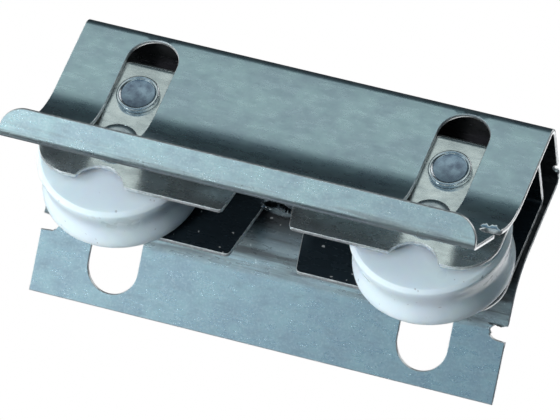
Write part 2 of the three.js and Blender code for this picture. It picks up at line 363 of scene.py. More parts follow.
@dataclass(frozen=True)
class FoldedSheet:
    """A flat blank folded along lines parallel to X.

    A place on the blank is (x, distance), where distance is measured from the middle of the web, positive
    down the far leg and negative down the near leg. The shut-in part of the inner face is painted dark as
    shade: the last field lists distances in rising order with how far that face is left unshaded there, from
    0, full painted shade, to 1. A point attribute holds that painted light level, and "raw" says whether
    the point lies on the unpolished inner face.
    """

    far: tuple[Stretch, ...]
    near: tuple[Stretch, ...]
    top: float
    gauge: float
    chamfer: float = 0.09
    finest_turn: float = 5.0
    spacing: float = 1.1
    column_shift: float = 0.37
    rim_room: float = 0.28
    # By default the whole inner face is painted shade.
    cleanness: tuple[Pair, ...] = ((0.0, 0.0),)

    def _follow(self, stretches: tuple[Stretch, ...], distance: Array) -> tuple[Array, Array, Array]:
        """Follows one half of the section.

        Over a stretch of length L that turns by k per unit, the middle line moves L sin(kL/2)/(kL/2) along
        the heading reached halfway, which is L itself where it is straight.

        Args:
            stretches: The stretches from the middle of the web outward.
            distance: Distances from the middle of the web, none negative.

        Returns:
            How far out and how far down the middle line is, and its heading below the horizontal.
        """
        length = np.array([s.length for s in stretches])
        turn = np.array([s.turn for s in stretches])
        rate = turn / length

        def moved(heading: Array, bending: Array, run: Array) -> tuple[Array, Array]:
            chord = run * np.sinc(bending * run / (2 * math.pi))
            halfway = heading + bending * run / 2
            return chord * np.cos(halfway), chord * np.sin(halfway)

        start = np.concatenate([[0], np.cumsum(length)[:-1]])
        heading = np.concatenate([[0], np.cumsum(turn)[:-1]])
        out_steps, down_steps = moved(heading, rate, length)
        out_start = np.concatenate([[0], np.cumsum(out_steps)[:-1]])
        down_start = np.concatenate([[0], np.cumsum(down_steps)[:-1]])
        i = np.clip(np.searchsorted(start, distance, side="right") - 1, 0, len(stretches) - 1)
        out, down = moved(heading[i], rate[i], distance - start[i])
        return out_start[i] + out, down_start[i] + down, heading[i] + rate[i] * (distance - start[i])

    def fold(self, blank: Array, offset: float | Array) -> Array:
        """Folds places on the blank into points of the sheet.

        Args:
            blank: Places as (x, distance) rows.
            offset: Distance from mid-thickness towards the outer face, one for all or one for each place.

        Returns:
            Points as (x, y, z) rows.
        """
        distance = blank[:, 1]
        far = self._follow(self.far, np.maximum(distance, 0))
        near = self._follow(self.near, np.maximum(-distance, 0))
        on_far = distance >= 0
        out, down, heading = (np.where(on_far, f, n) for f, n in zip(far, near))
        out = out + offset * np.sin(heading)
        return np.column_stack([
            blank[:, 0], np.where(on_far, out, -out),
            self.top - self.gauge / 2 - down + offset * np.cos(heading)])

    def stations(self) -> Array:
        """Distances where rows of points lie: close together in a bend and a spacing apart elsewhere."""
        rows = []
        for sign, stretches in ((1, self.far), (-1, self.near)):
            start = 0.0
            for stretch in stretches:
                turned = abs(math.degrees(stretch.turn))
                pieces = math.ceil(max(turned / self.finest_turn, stretch.length / (2 * self.spacing)))
                rows.append(sign * (start + stretch.length * np.arange(pieces) / pieces))
                start += stretch.length
        return np.unique(np.round(np.concatenate(rows), 6))

    def press(self, name: str, outline: Array, holes: list[Array]) -> Piece:
        """Cuts the blank and folds it into a closed sheet with a fine chamfer along every cut edge.

        The two faces share one flat triangulation of the inset outlines. Between them run three strips: a
        chamfer, the cut edge and a chamfer. The strips have material index 1.

        Args:
            name: Name of the piece.
            outline: Outer outline, anticlockwise.
            holes: Hole outlines, clockwise.

        Returns:
            The folded sheet.
        """
        stations = self.stations()
        loops = [walk(loop, self.spacing, stations) for loop in (outline, *holes)]
        inner = [inset(loop, self.chamfer) for loop in loops]
        rim = np.vstack(inner)
        columns = np.arange(outline[:, 0].min(), outline[:, 0].max(), self.spacing)
        columns += self.column_shift * self.spacing
        grid = np.stack(np.meshgrid(columns, stations), axis=-1).reshape(-1, 2)
        grid = grid[inside(grid, inner)]
        nearest = np.min(np.linalg.norm((grid[:, None] - rim[None]).astype(np.float32), axis=2), axis=1)
        flat = np.vstack([rim, grid[nearest > self.rim_room]])

        follows = np.concatenate([
            first + np.roll(np.arange(len(loop)), -1)
            for loop, first in zip(inner, np.cumsum([0] + [len(loop) for loop in inner[:-1]]))])
        sides = np.column_stack([np.arange(len(rim)), follows])
        made = delaunay_2d_cdt([Vector(p) for p in flat], sides.tolist(), [], 0, 1e-7)
        source = np.array([came[0] for came in made[3]])
        triangles = source[np.array(made[2])]
        corners = flat[triangles]
        triangles = triangles[inside(corners.mean(axis=1), inner)]
        corners = flat[triangles]
        first, second = corners[:, 1] - corners[:, 0], corners[:, 2] - corners[:, 0]
        backwards = first[:, 0] * second[:, 1] - first[:, 1] * second[:, 0] < 0
        triangles[backwards] = triangles[backwards][:, ::-1]

        half = self.gauge / 2
        edge = np.vstack(loops)
        points = np.vstack([
            self.fold(flat, half), self.fold(flat, -half),
            self.fold(edge, half - self.chamfer), self.fold(edge, self.chamfer - half)])
        outer_row = np.arange(len(rim))
        inner_row = outer_row + len(flat)
        upper_row = outer_row + 2 * len(flat)
        lower_row = upper_row + len(rim)
        strips = np.vstack([
            np.column_stack([low, low[follows], high[follows], high])
            for low, high in ((upper_row, outer_row), (lower_row, upper_row), (inner_row, lower_row))])
        piece = mesh_object(name, points, [triangles, triangles[:, ::-1] + len(flat), strips])
        self._crisp_edges(piece.data, 2 * len(triangles), len(strips))
        # Points of the inner face carry their painted light level, 0 being full painted shade; the rest stay
        # unshaded.
        painted_light, raw = np.ones(len(points), np.float32), np.zeros(len(points), np.float32)
        painted_light[len(flat):2 * len(flat)] = np.interp(flat[:, 1], *np.array(self.cleanness).T)
        raw[len(flat):2 * len(flat)] = 1
        for key, values in (("painted_light", painted_light), ("raw", raw)):
            piece.data.attributes.new(key, "FLOAT", "POINT").data.foreach_set("value", values)
        return piece

    @staticmethod
    def _crisp_edges(mesh: bpy.types.Mesh, faces: int, strips: int) -> None:
        """Marks the strips as cut edge, and keeps the line between them and the faces crisp."""
        kind = np.repeat([0, 1], [faces, strips]).astype(np.int32)
        mesh.materials.clear()
        for _ in range(2):
            mesh.materials.append(None)
        mesh.polygons.foreach_set("material_index", kind)
        corner_edge = np.empty(len(mesh.loops), np.int32)
        mesh.loops.foreach_get("edge_index", corner_edge)
        sizes = np.empty(len(mesh.polygons), np.int32)
        mesh.polygons.foreach_get("loop_total", sizes)
        corner_kind = np.repeat(kind, sizes)
        touching = np.bincount(corner_edge, corner_kind, minlength=len(mesh.edges))
        mesh.attributes.new("sharp_edge", "BOOLEAN", "EDGE").data.foreach_set("value", touching == 1)
        mesh.update()


# ---- Finishes


class NodeBench:
    """Short way to lay out the nodes of one material or world."""

    def __init__(self, owner: bpy.types.Material | bpy.types.World) -> None:
        """Starts the owner's node tree afresh, with only its output."""
        owner.use_nodes = True
        self.owner, self.tree = owner, owner.node_tree
        self.tree.nodes.clear()
        self.output = self.add(f"ShaderNodeOutput{type(owner).__name__}")

    def add(self, kind: str, **settings: object) -> bpy.types.Node:
        """Adds a node and sets its own properties."""
        node = self.tree.nodes.new(kind)
        for key, value in settings.items():
            setattr(node, key, value)
        return node

    def join(self, source: Socket, target: Socket) -> None:
        """Links two sockets."""
        self.tree.links.new(source, target)

    def noise(self, scale: float, detail: float = 3.0, stretch: Triple = (1.0, 1.0, 1.0)) -> Socket:
        """Noise whose features are about 1/scale metres wide, in object coordinates scaled by stretch."""
        mapping = self.add("ShaderNodeMapping")
        mapping.inputs["Scale"].default_value = stretch
        self.join(self.add("ShaderNodeTexCoord").outputs["Object"], mapping.inputs["Vector"])
        node = self.add("ShaderNodeTexNoise")
        for key, number in (("Scale", scale), ("Detail", detail), ("Roughness", 0.6)):
            node.inputs[key].default_value = number
        self.join(mapping.outputs["Vector"], node.inputs["Vector"])
        return node.outputs["Fac"]

    def ranged(self, value: Socket, source: Pair, target: Pair = (0.0, 1.0)) -> Socket:
        """Maps a value from one range to another, held at both ends."""
        node = self.add("ShaderNodeMapRange", clamp=True)
        for key, number in zip(("From Min", "From Max", "To Min", "To Max"), (*source, *target)):
            node.inputs[key].default_value = number
        self.join(value, node.inputs["Value"])
        return node.outputs["Result"]

    def blended(self, share: Socket, first: Colour | Socket, second: Colour | Socket) -> Socket:
        """Mixes two colours, each a colour or another node's output, by a share."""
        node = self.add("ShaderNodeMix", data_type="RGBA")
        self.join(share, node.inputs[0])
        for socket, colour in ((node.inputs[6], first), (node.inputs[7], second)):
            if isinstance(colour, tuple):
                socket.default_value = (*colour, 1.0)
            else:
                self.join(colour, socket)
        return node.outputs[2]

    def product(self, first: Socket, second: Socket) -> Socket:
        """Multiplies two values."""
        node = self.add("ShaderNodeMath", operation="MULTIPLY")
        self.join(first, node.inputs[0])
        self.join(second, node.inputs[1])
        return node.outputs["Value"]

    def bumped(
            self, height: Socket, distance: float, strength: float, under: Socket | None = None) -> Socket:
        """A bump of a height in metres, over another bump where one is given."""
        node = self.add("ShaderNodeBump")
        node.inputs["Distance"].default_value = distance
        node.inputs["Strength"].default_value = strength
        self.join(height, node.inputs["Height"])
        if under is not None:
            self.join(under, node.inputs["Normal"])
        return node.outputs["Normal"]

    def shader(self, **constants: float | Triple) -> bpy.types.Node:
        """Adds the surface shader with its constant sockets set, and joins it to the output."""
        node = self.add("ShaderNodeBsdfPrincipled")
        for key, value in constants.items():
            socket = node.inputs[key.replace("_", " ")]
            socket.default_value = (*value, 1.0) if socket.type == "RGBA" else value
        self.join(node.outputs["BSDF"], self.output.inputs["Surface"])
        return node


@dataclass(frozen=True)
class Finish(ABC):
    """A finish, with one material that all its pieces share."""

    name: str

    def shared(self) -> bpy.types.Material:
        """The finish's material, made when first asked for."""
        known = bpy.data.materials.get(self.name)
        if known is None:
            known = bpy.data.materials.new(self.name)
            self.lay_out(NodeBench(known))
        return known

    @abstractmethod
    def lay_out(self, bench: NodeBench) -> None:
        """Lays out the material's nodes on a bench."""


@dataclass(frozen=True)
class ZincFinish(Finish):
    """Bright zinc plate on pressed sheet: cloudy patches, pale flecks, rolling lines and small dark marks.
    The shut-in inner face is painted near black as shade, with pale dust specks, and is less metallic there.
    """

    shade: Colour
    body: Colour
    fleck: Colour
    mark: Colour
    dull: Colour
    dust: Colour
    roughness: Pair
    raw_flecks: float = 0.55
    face_flecks: float = 0.12
    marks: float = 0.35

    def lay_out(self, bench: NodeBench) -> None:
        """Lays out the finish."""
        raw = bench.add("ShaderNodeAttribute", attribute_name="raw").outputs["Fac"]
        # Painted light level of the inner face, from 0, full painted shade, to 1, none.
        level = bench.add("ShaderNodeAttribute", attribute_name="painted_light").outputs["Fac"]
        # Where the painted shade is partial, streaks break up its level.
        streak = bench.ranged(bench.noise(900, 3, (0.07, 1.0, 1.0)), (0.40, 0.60), (0.3, 1.7))
        part = bench.ranged(level, (0.5, 1.0))
        painted_light = bench.blended(part, bench.product(level, streak), level)
        cloud = bench.noise(300, 5)
        patches = bench.blended(bench.ranged(cloud, (0.38, 0.64)), self.shade, self.body)
        grain = bench.noise(3400, 4)
        reach = bench.ranged(raw, (0, 1), (self.face_flecks, self.raw_flecks))
        share = bench.product(bench.ranged(grain, (0.50, 0.68)), reach)
        flecked = bench.blended(share, patches, self.fleck)
        smear = bench.noise(1100, 5, (0.4, 1.0, 1.0))
        soiled = bench.product(bench.ranged(smear, (0.54, 0.72), (0, self.marks)), reach)
        marked = bench.blended(soiled, flecked, self.mark)
        dust = bench.ranged(bench.noise(1500, 1), (0.745, 0.775))
        # Painted shade colour for the inner face, with specks of pale dust.
        painted_shade_and_dust = bench.blended(dust, self.dull, self.dust)
        shader = bench.shader()
        # The painted shade also lowers the metallic share, and the level picks between painted shade and the
        # lit zinc.
        bench.join(bench.ranged(painted_light, (0, 1), (0.35, 0.97)), shader.inputs["Metallic"])
        bench.join(bench.blended(painted_light, painted_shade_and_dust, marked), shader.inputs["Base Color"])
        bench.join(bench.ranged(smear, (0.3, 0.7), self.roughness), shader.inputs["Roughness"])
        rolling = bench.noise(1300, 3, (0.03, 1.0, 1.0))
        fine = bench.bumped(grain, 0.00003, 0.25)
        bench.join(bench.bumped(rolling, 0.00003, 0.22, fine), shader.inputs["Normal"])


@dataclass(frozen=True)
class CutEdgeFinish(Finish):
    """Fresh bare edge of the sheet where the press cut it, painted near white and partly diffuse as a painted
    highlight, so that it shows bright from most directions.
    """

    body: Colour
    shade: Colour
    roughness: Pair

    def lay_out(self, bench: NodeBench) -> None:
        """Lays out the finish."""
        tear = bench.noise(2200, 3)
        shader = bench.shader(Metallic=0.75)
        bench.join(bench.blended(bench.ranged(tear, (0.40, 0.62)), self.shade, self.body),
                   shader.inputs["Base Color"])
        bench.join(bench.ranged(tear, (0.3, 0.7), self.roughness), shader.inputs["Roughness"])
        bench.join(bench.bumped(tear, 0.00003, 0.4), shader.inputs["Normal"])


@dataclass(frozen=True)
class TurnedSteelFinish(Finish):
    """Turned and plated steel with faint tool lines and light staining."""

    body: Colour
    stain: Colour
    roughness: Pair

    def lay_out(self, bench: NodeBench) -> None:
        """Lays out the finish."""
        stain = bench.noise(900, 4)
        shader = bench.shader(Metallic=1.0)
        bench.join(bench.blended(bench.ranged(stain, (0.40, 0.68)), self.body, self.stain),
                   shader.inputs["Base Color"])
        bench.join(bench.ranged(stain, (0.3, 0.7), self.roughness), shader.inputs["Roughness"])
        bench.join(bench.bumped(bench.noise(3000, 3), 0.00002, 0.25), shader.inputs["Normal"])


@dataclass(frozen=True)
class NylonFinish(Finish):
    """Milky moulded nylon that lets light sink in, with a soft gloss, faint clouding and handling specks."""

    body: Colour
    cloud: Colour
    speck: Colour
    roughness: Pair

    def lay_out(self, bench: NodeBench) -> None:
        """Lays out the finish."""
        cloud = bench.noise(160, 3)
        milky = bench.blended(bench.ranged(cloud, (0.38, 0.62)), self.body, self.cloud)
        dust = bench.noise(1500, 1)
        speckled = bench.blended(bench.ranged(dust, (0.735, 0.77), (0, 0.6)), milky, self.speck)
        shader = bench.shader(
            Subsurface_Weight=0.55, Subsurface_Radius=(0.9, 1.0, 1.1), Subsurface_Scale=0.0015, IOR=1.53)
        bench.join(speckled, shader.inputs["Base Color"])
        bench.join(bench.ranged(cloud, (0.3, 0.7), self.roughness), shader.inputs["Roughness"])
        bench.join(bench.bumped(bench.noise(1100, 2), 0.00002, 0.25), shader.inputs["Normal"])


# Each zinc's near-black inner colour is painted shade for its shut-in inner face.
HOUSING_ZINC = ZincFinish(
    "housing_zinc", shade=(0.53, 0.65, 0.71), body=(0.60, 0.76, 0.79), fleck=(0.84, 0.93, 0.95),
    mark=(0.12, 0.16, 0.22), dull=(0.040, 0.043, 0.046), dust=(0.5, 0.5, 0.5), roughness=(0.24, 0.34))
CARRIAGE_ZINC = ZincFinish(
    "carriage_zinc", shade=(0.72, 0.75, 0.74), body=(0.94, 0.97, 0.95), fleck=(0.93, 0.95, 0.94),
    mark=(0.24, 0.20, 0.20), dull=(0.018, 0.028, 0.036), dust=(0.6, 0.6, 0.6), roughness=(0.20, 0.32),
    face_flecks=0.3)
# The cut edge is bare steel, and its near-white colour is also a painted highlight.
CUT_EDGE_AND_HIGHLIGHT = CutEdgeFinish(
    "cut_edge_painted_highlight", body=(0.95, 0.97, 0.97), shade=(0.70, 0.74, 0.75), roughness=(0.28, 0.44))
# Darker blue-grey steel painted into the studs' dishes as shade and reflection.
STUD_DISH_PAINTED_SHADE = TurnedSteelFinish(
    "stud_dish", body=(0.34, 0.43, 0.52), stain=(0.22, 0.26, 0.34), roughness=(0.18, 0.32))
# Near-black steel painted into the screw's cross recess as shade.
SCREW_RECESS_PAINTED_SHADE = TurnedSteelFinish(
    "screw_recess_painted_shade", body=(0.07, 0.08, 0.09), stain=(0.03, 0.035, 0.04), roughness=(0.35, 0.5))
PLATED_STEEL = TurnedSteelFinish(
    "plated_steel", body=(0.92, 0.95, 0.96), stain=(0.62, 0.66, 0.70), roughness=(0.18, 0.30))
MILKY_NYLON = NylonFinish(
    "milky_nylon", body=(0.74, 0.87, 0.93), cloud=(0.74, 0.83, 0.93), speck=(0.30, 0.32, 0.36),
    roughness=(0.26, 0.36))


def face_centres(piece: Piece) -> Array:
    """The centre of each face of a piece.

    Args:
        piece: A mesh object with its finished faces.

    Returns:
        One row of x, y, z in millimetres for each face.
    """
    centres = np.empty(3 * len(piece.data.polygons))
    piece.data.polygons.foreach_get("center", centres)
    return centres.reshape(-1, 3) / MM


def repaint(piece: Piece, steel: TurnedSteelFinish, chosen: Array) -> None:
    """Gives some faces of a piece a second steel.

    Args:
        piece: A mesh object that has its first material.
        steel: The finish of the chosen faces.
        chosen: Whether each face is chosen.
    """
    piece.data.materials.append(steel.shared())
    piece.data.polygons.foreach_set("material_index", chosen.astype(np.int32))


def hand_over(piece: Piece, body: str, node: str) -> None:
    """Ties a finished piece to the frame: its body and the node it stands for."""
    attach(piece, body)
    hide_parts(node)
    LOG.info("%s stands for %s on %s, %d faces", piece.name, node, body, len(piece.data.polygons))


# ---- Housing


@dataclass
class Housing:
    """The outer channel: a web, two legs with long slots, and flares, the near one with a turned lip."""

    gauge: float = 0.6
    width: float = 11.0
    top_bend: float = 1.5
    leg_end: float = -11.8
    flare_angle: float = 42.0
    flare_bend: float = 8.9
    flare_length: float = 12.3
    lip_length: float = 4.0
    lip_bend: float = 0.9
    slot_half: float = 3.2
    slot_top: float = -1.5
    slot_margin: float = 1.9
    slot_x: float = 20.0
    nick_depth: float = 2.1
    near_nick: Pair = (9.3, 2.4)
    far_nick: Pair = (8.7, 1.8)
    web_nick: Pair = (2.7, 0.6)
    burr_room: float = 0.1

    def sheet(self) -> FoldedSheet:
        """The folded section, with every bend given at mid-thickness."""
        half = self.gauge / 2
        leg = (
            Stretch(self.width / 2 - self.top_bend),
            Stretch.bend(90, self.top_bend - half),
            Stretch(-self.leg_end - self.top_bend),
            Stretch.bend(-self.flare_angle, self.flare_bend + half),
        )
        lip = (
            Stretch(self.flare_length - self.lip_bend),
            Stretch.bend(-90, self.lip_bend - half),
            Stretch(self.lip_length - self.lip_bend),
        )
        return FoldedSheet(
            (*leg, Stretch(self.flare_length)), (*leg, *lip), 0.0, self.gauge, cleanness=self.grime())

    @staticmethod
    def grime() -> tuple[Pair, ...]:
        """Painted light of the inner face: painted shade inside, partly unshaded near the legs' ends,
        unshaded on both edges.
        """
        return (
            (-36.0, 1.0), (-34.6, 0.35), (-22.0, 0.35), (-17.0, 0.0), (19.5, 0.0), (22.5, 0.2), (25.6, 0.4),
            (26.6, 1.0))

    def blank(self) -> tuple[Array, list[Array]]:
        """The flat blank: its outline with torn nicks and a round-cornered lip, and its four slots."""
        sheet = self.sheet()
        end = NodeBox.of("housing").size[0] / 2
        far_edge = sum(s.length for s in sheet.far)
        near_edge = sum(s.length for s in sheet.near)
        corner = self.lip_length - self.lip_bend
        lip_start = corner - near_edge
        near_from, near_width = self.near_nick
        far_from, far_width = self.far_nick
        web_place, web_radius = self.web_nick
        lip_corner = arc((end - corner, lip_start), corner, -90, 0, 21)

        def nicks(seed: float) -> tuple[Array, Array]:
            """The two nicks of one end."""
            return (torn_nick(end, near_from - far_edge, near_width, self.nick_depth, seed),
                    torn_nick(end, far_edge - far_from, far_width, self.nick_depth, seed + 1.3))

        right_near, right_far = nicks(0.4)
        left_near, left_far = nicks(2.9)
        outline = np.vstack([
            lip_corner, right_near, arc((end, web_place), web_radius, 270, 90, 9), right_far,
            [[end, far_edge], [-end, far_edge]],
            mirrored(left_far), mirrored(left_near), mirrored(lip_corner)])
        bend_length = math.pi / 2 * (self.top_bend - self.gauge / 2)
        high = self.width / 2 - self.top_bend + bend_length - self.slot_top - self.top_bend + self.slot_half
        low = far_edge - self.slot_margin - self.slot_half
        slots = [
            stadium(x, *sorted((side.value * high, side.value * low)), self.slot_half)
            for side in Side for x in (-self.slot_x, self.slot_x)]
        return outline, slots

    def build(self) -> None:
        """Presses the housing, ties it to the frame and raises its burrs."""
        sheet = self.sheet()
        piece = sheet.press("housing_channel", *self.blank())
        self.dress(piece)
        hand_over(piece, "housing", "housing")
        reach = sum(s.length for s in sheet.far)
        near_from, near_width = self.near_nick
        far_from, far_width = self.far_nick
        near = near_from + near_width / 2 - reach + self.burr_room
        far = reach - far_from - far_width / 2 - self.burr_room
        Burr("burr_near_nick", near, 1, 0.5).build(sheet)
        Burr("burr_far_nick", far, -1, 0.4).build(sheet)

    def dress(self, piece: Piece) -> None:
        """Gives the faces their zinc, with painted shade on the shut-in inner face, and the cut edges their
        bare metal, painted bright as a highlight.
        """
        piece.data.materials[0], piece.data.materials[1] = HOUSING_ZINC.shared(), CUT_EDGE_AND_HIGHLIGHT.shared()


@dataclass
class Burr:
    """A thin torn curl of metal that stands up beside a nick, at the +X end of the housing."""

    name: str
    distance: float
    face: int
    height: float
    length: float = 2.6
    base: float = 0.12
    root: float = 0.1
    rows: int = 28
    columns: int = 10

    def build(self, sheet: FoldedSheet) -> None:
        """Raises the burr from one face of the sheet.

        Along the burr, its height is the square root of a half sine wave times one plus two ripples, and its
        ridge leans over by half its height. A section is an oval about the line from foot to ridge.

        Args:
            sheet: The folded sheet that the burr belongs to.
        """
        end = NodeBox.of("housing").size[0] / 2
        share = np.linspace(0, 1, self.rows)[:, None]
        swell = np.sqrt(np.maximum(np.sin(math.pi * share), 0))
        rise = self.height * swell * (1 + 0.25 * np.sin(11 * share) + 0.15 * np.sin(27 * share))
        turn = np.arange(self.columns)[None, :] * 2 * math.pi / self.columns
        up = (1 - np.cos(turn)) / 2
        x = end - 0.05 - self.length * (1 - share) + 0 * turn
        across = self.base / 2 * swell * np.sin(turn) * (1 - 0.6 * up) + 0.5 * rise * up ** 2
        places = np.stack([x, self.distance + across], axis=-1)
        offset = self.face * (sheet.gauge / 2 - self.root + rise * up)
        points = sheet.fold(places.reshape(-1, 2), offset.ravel())
        piece = mesh_object(self.name, points, [skin(np.arange(len(points)).reshape(self.rows, -1))])
        close_and_face_out(piece, crease=50.0)
        self.dress(piece)
        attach(piece, "housing")
        LOG.info("%s stands on the housing's sheet", piece.name)

    @staticmethod
    def dress(piece: Piece) -> None:
        """Gives the burr its bare bright steel."""
        piece.data.materials.append(PLATED_STEEL.shared())


# ---- Carriage


@dataclass
class Carriage:
    """The inner channel that holds the wheels, with arches at the axles and a tapered notch between them."""

    gauge: float = 0.6
    top_bend: float = 1.2
    corner: float = 5.0
    arch_radius: float = 3.3
    arch_height: float = 2.3
    notch_half_bottom: float = 4.3
    notch_half_top: float = 2.6
    notch_top: float = -11.5
    notch_rounding: float = 0.6
    arch_rounding: float = 0.5
    axle_hole: float = 1.7
    stud_hole: float = 1.55
    screw_hole: float = 2.2

    def sheet(self) -> FoldedSheet:
        """The folded section, with every bend given at mid-thickness."""
        box = NodeBox.of("carriage")
        leg = (
            Stretch(box.size[1] / 2 - self.top_bend),
            Stretch.bend(90, self.top_bend - self.gauge / 2),
            Stretch(box.size[2] - self.top_bend),
        )
        # The carriage keeps the default levels, so its whole inner face is painted shade.
        return FoldedSheet(leg, leg, box.high[2], self.gauge)

    def leg_edge(self) -> Array:
        """The lower line of one leg from its -X end to its +X end, as (x, height) rows."""
        box = NodeBox.of("carriage")
        end, bottom = box.size[0] / 2, box.low[2]
        axle = NodeBox.of("axle_right").centre[0]
        drop = self.arch_radius - self.arch_height
        lift = math.degrees(math.asin(drop / self.arch_radius))
        shoulder = self.notch_top - self.notch_half_top
        round_end = arc((end - self.corner, bottom + self.corner), self.corner, -90, 0, 17)
        arch = arc((axle, bottom - drop), self.arch_radius, 180 - lift, lift, 17)
        half = np.vstack([
            [[0, self.notch_top]], arc((0, shoulder), self.notch_half_top, 80, 0, 9),
            [[self.notch_half_bottom, bottom]], arch, round_end])
        rounding = np.zeros(len(half))
        rounding[10], rounding[[11, 27]] = self.notch_rounding, self.arch_rounding
        half = soften(half, rounding, 5)
        return np.vstack([(half * [-1, 1])[::-1][:-1], half])

    def blank(self) -> tuple[Array, list[Array]]:
        """The flat blank: both legs' lower lines, and the holes for axles, studs and screw."""
        sheet = self.sheet()
        reach = sum(s.length for s in sheet.far)
        bottom = NodeBox.of("carriage").low[2]
        line = self.leg_edge()
        near = np.column_stack([line[:, 0], line[:, 1] - bottom - reach])
        outline = np.vstack([near, (near * [1, -1])[::-1]])
        holes = [circle((0, 0), self.screw_hole)]
        for place in ("left", "right"):
            bores = ((f"axle_{place}", self.axle_hole), (f"guide_stud_{place}_far", self.stud_hole))
            for node, radius in bores:
                x, _, z = NodeBox.of(node).centre
                holes += [circle((x, side.value * (reach + bottom - z)), radius) for side in Side]
        return outline, holes

    def build(self) -> None:
        """Presses the carriage and ties it to the frame."""
        piece = self.sheet().press("carriage_channel", *self.blank())
        self.dress(piece)
        hand_over(piece, "carriage", "carriage")

    def dress(self, piece: Piece) -> None:
        """Gives the faces their zinc, with the whole inner face painted near black as shade, and the cut
        edges their bare metal, painted bright as a highlight.
        """
        piece.data.materials[0], piece.data.materials[1] = CARRIAGE_ZINC.shared(), CUT_EDGE_AND_HIGHLIGHT.shared()


# ---- Wheels and what they turn on


@dataclass
class Wheel:
    """A grooved nylon wheel with plain sides and a small chamfer beside the tread."""

    place: str
    bore: float = 2.5
    bore_edge: float = 0.15
    edge: float = 0.5
    groove_half: float = 2.8
    groove_depth: float = 0.5
    segments: int = 160

    def profile(self, radius: float, half: float) -> Array:
        """Closed section as [radius, y] rows.

        The tread's radius falls by the groove's depth times the square of the cosine of y, scaled so that the
        groove ends at its half width.

        Args:
            radius: Radius of the tread's shoulders.
            half: Half the wheel's width.

        Returns:
            The section, from the near side round by the tread to the far side and back through the bore.
        """
        side = np.array([
            [self.bore, half - self.bore_edge], [self.bore + self.bore_edge, half],
            [radius - self.edge, half],
            [radius - 0.02, half - self.edge + 0.06], [radius, half - self.edge - 0.14]])
        side = soften(side, np.array([0, 0.1, 0.09, 0.1, 0]), 4)
        y = np.linspace(-self.groove_half, self.groove_half, 29)
        dip = self.groove_depth * np.cos(y / self.groove_half * math.pi / 2) ** 2
        tread = np.column_stack([radius - dip, y])
        return np.vstack([side * [1, -1], tread, side[::-1]])

    def build(self) -> None:
        """Turns the wheel and ties it to its own body."""
        node = f"wheel_{self.place}"
        box = NodeBox.of(node)
        profile = self.profile(box.size[2] / 2, box.size[1] / 2)
        piece = turn_profile(f"{node}_nylon", profile, box.centre, self.segments, ring=True)
        self.dress(piece)
        hand_over(piece, node, node)

    @staticmethod
    def dress(piece: Piece) -> None:
        """Gives the wheel its nylon."""
        piece.data.materials.append(MILKY_NYLON.shared())


@dataclass
class TurnedParts:
    """Axles, sleeves, washers and guide studs, all turned about the Y axis."""

    axle_radius: float = 1.6
    head_height: float = 0.5
    sleeve_inner: float = 1.7
    washer_inner: float = 2.5
    stud_rim: float = 2.1
    stud_dish: float = 0.28
    stud_shank: float = 1.5
    stud_tail: float = 2.1
    stud_tail_height: float = 0.3
    ring_rounding: float = 0.12
    segments: int = 64

    def axle(self, place: str) -> None:
        """A riveted axle whose heads are slightly domed with a small dimple."""
        node = f"axle_{place}"
        box = NodeBox.of(node)
        head, end = box.size[2] / 2, box.size[1] / 2
        half = np.array([
            [0, end - 0.14], [0.7, end - 0.1], [1.0, end], [head - 0.5, end - 0.04], [head, end - 0.2],
            [head, end - self.head_height], [self.axle_radius, end - self.head_height]])
        profile = np.vstack([half * [1, -1], half[::-1]])
        radii = np.array([0, 0.2, 0.25, 0.3, 0.12, 0.05, 0.05])
        self._finish(node, soften(profile, np.concatenate([radii, radii[::-1]])), box, ring=False)

    def plain_ring(self, node: str, inner: float) -> None:
        """A sleeve or washer: a plain ring with softened edges that fills the node's box."""
        box = NodeBox.of(node)
        outer, low, high = box.size[2] / 2, box.low[1], box.high[1]
        corners = np.array([[inner, low], [outer, low], [outer, high], [inner, high]])
        profile = soften(corners, np.full(4, self.ring_rounding), 3, closed=True)
        self._finish(node, profile, box, ring=True)

    def stud(self, place: str, side: Side) -> None:
        """A guide stud: a round head with a rolled rim round a shallow dish, painted darker blue-grey as
        shade and reflection, and a riveted tail.
        """
        node = f"guide_stud_{place}_{side.name.lower()}"
        box = NodeBox.of(node)
        head = box.size[2] / 2
        face, tip = (box.high[1], box.low[1]) if side is Side.FAR else (-box.low[1], -box.high[1])
        wall = NodeBox.of("carriage").size[1] / 2 + 0.05
        profile = np.array([
            [0, face - self.stud_dish], [self.stud_rim, face - self.stud_dish + 0.03],
            [self.stud_rim + 0.16, face], [head - 0.14, face], [head, face - 0.14],
            [head, wall], [self.stud_shank, wall],
            [self.stud_shank, tip + self.stud_tail_height], [self.stud_tail, tip + self.stud_tail_height],
            [self.stud_tail, tip], [0, tip]])
        radii = np.array([0, 0.1, 0.12, 0.12, 0.1, 0.05, 0.05, 0.05, 0.05, 0.12, 0])
        piece = self._finish(node, soften(profile, radii) * [1, side.value], box, ring=False)
        # The dish faces get the darker blue-grey steel as painted shade and painted reflection.
        from_axis = face_centres(piece) - box.centre
        in_dish = np.hypot(from_axis[:, 0], from_axis[:, 2]) < self.stud_rim
        repaint(piece, STUD_DISH_PAINTED_SHADE, in_dish & (from_axis[:, 1] * side.value > 0))

    def _finish(self, node: str, profile: Array, box: NodeBox, ring: bool) -> Piece:
        """Turns a profile, gives it its steel and ties it to the carriage."""
        piece = turn_profile(f"{node}_turned", profile, box.centre, self.segments, ring)
        self.dress(piece)
        hand_over(piece, "carriage", node)
        return piece

    def build(self) -> None:
        """Makes every turned piece of both axles."""
        for place in ("left", "right"):
            self.axle(place)
            self.plain_ring(f"axle_sleeve_{place}", self.sleeve_inner)
            for side in Side:
                self.plain_ring(f"washer_{place}_{side.name.lower()}", self.washer_inner)
                self.stud(place, side)

    @staticmethod
    def dress(piece: Piece) -> None:
        """Gives a turned piece its plated steel."""
        piece.data.materials.append(PLATED_STEEL.shared())


# ---- Adjusting screw and nut


